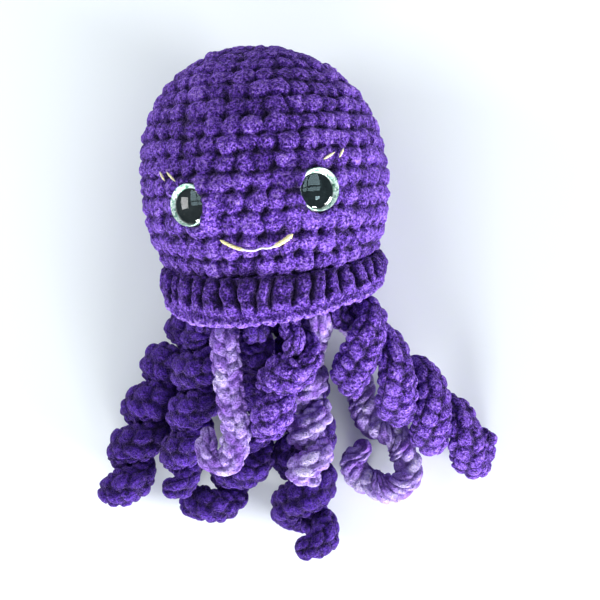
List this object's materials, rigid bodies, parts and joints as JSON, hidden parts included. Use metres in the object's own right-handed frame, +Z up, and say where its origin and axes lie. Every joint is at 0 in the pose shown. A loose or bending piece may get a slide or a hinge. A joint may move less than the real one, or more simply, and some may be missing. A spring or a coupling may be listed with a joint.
{
  "type": "crocheted jellyfish plush toy",
  "caption": "Chunky crocheted jellyfish plush lying on its back: stuffed ball head, ribbed brim, glittery safety eyes, stitched smile and corkscrew tentacles.",
  "frame": {"origin": "centre of the flat patch on the back of the head, where the toy lies on the table", "axes": "+Z up out of the face, +Y towards the crown of the head, tentacles along -Y, +X to the right of a person looking at the face"},
  "size_m": [0.2206, 0.2687, 0.122],
  "materials": {
    "purple_chenille": "deep violet velvety chenille yarn",
    "lilac_chenille": "lilac and white variegated chenille yarn",
    "purple_seam_yarn": "violet yarn",
    "yellow_floss": "pale yellow cotton floss",
    "polyester_fibre": "white fibre fill",
    "mint_glitter": "mint silver glitter",
    "black_plastic": "glossy black",
    "white_plastic": "plain",
    "clear_plastic": "clear glossy"
  },
  "bodies": {
    "head": {"head_cover": "purple_chenille", "brim_ruffle": "purple_chenille", "base_disc": "purple_chenille", "closing_yarn": "purple_seam_yarn", "fibre_stuffing": "polyester_fibre", "eye_lens_left": "clear_plastic", "eye_iris_left": "mint_glitter", "eye_pupil_left": "black_plastic", "eye_back_left": "black_plastic", "eye_washer_left": "white_plastic", "eye_lens_right": "clear_plastic", "eye_iris_right": "mint_glitter", "eye_pupil_right": "black_plastic", "eye_back_right": "black_plastic", "eye_washer_right": "white_plastic", "mouth_floss": "yellow_floss", "lash_left_1": "yellow_floss", "lash_left_2": "yellow_floss", "lash_right_1": "yellow_floss", "lash_right_2": "yellow_floss"},
    "left_outer": {"tentacle_left_outer": "purple_chenille"},
    "left_inner": {"tentacle_left_inner": "purple_chenille"},
    "middle_left": {"tentacle_middle_left": "purple_chenille"},
    "front_strip": {"tentacle_front_strip": "lilac_chenille"},
    "front_curl": {"tentacle_front_curl": "purple_chenille"},
    "right_long": {"tentacle_right_long": "purple_chenille"},
    "middle_right": {"tentacle_middle_right": "lilac_chenille"},
    "right_loop": {"tentacle_right_loop": "lilac_chenille"},
    "back_long": {"tentacle_back_long": "purple_chenille"},
    "back_short": {"tentacle_back_short": "purple_chenille"}
  },
  "joints": [
    {"name": "left_outer_swing", "type": "hinge", "parent": "head", "child": "left_outer", "pos_m": [-0.03614, -0.05978, 0.03998], "axis": [0, 0, -1], "range_deg": [0, 25]},
    {"name": "left_inner_lift", "type": "hinge", "parent": "head", "child": "left_inner", "pos_m": [-0.03614, -0.06534, 0.06307], "axis": [-0.6428, 0, -0.766], "range_deg": [0, 35]},
    {"name": "middle_left_lift", "type": "hinge", "parent": "head", "child": "middle_left", "pos_m": [-0.00919, -0.07128, 0.08778], "axis": [-0.866, 0, -0.5], "range_deg": [0, 8]},
    {"name": "front_strip_lift", "type": "hinge", "parent": "head", "child": "front_strip", "pos_m": [-0.02443, -0.06945, 0.08014], "axis": [-1, 0, 0], "range_deg": [0, 35]},
    {"name": "front_curl_lift", "type": "hinge", "parent": "head", "child": "front_curl", "pos_m": [0.0066, -0.07141, 0.08832], "axis": [-1, 0, 0], "range_deg": [0, 35]},
    {"name": "right_long_lift", "type": "hinge", "parent": "head", "child": "right_long", "pos_m": [0.03074, -0.06785, 0.07349], "axis": [-1, 0, 0], "range_deg": [0, 40]},
    {"name": "middle_right_lift", "type": "hinge", "parent": "head", "child": "middle_right", "pos_m": [0.02014, -0.07019, 0.08321], "axis": [-0.866, 0, 0.5], "range_deg": [0, 15]},
    {"name": "right_loop_swing", "type": "hinge", "parent": "head", "child": "right_loop", "pos_m": [0.03742, -0.061, 0.04504], "axis": [0.9397, 0, 0.342], "range_deg": [0, 30]},
    {"name": "back_long_swing", "type": "hinge", "parent": "head", "child": "back_long", "pos_m": [0.00529, -0.05366, 0.01453], "axis": [1, 0, 0], "range_deg": [0, 30]},
    {"name": "back_short_swing", "type": "hinge", "parent": "head", "child": "back_short", "pos_m": [-0.019, -0.05478, 0.01917], "axis": [1, 0, 0], "range_deg": [0, 30]}
  ]
}
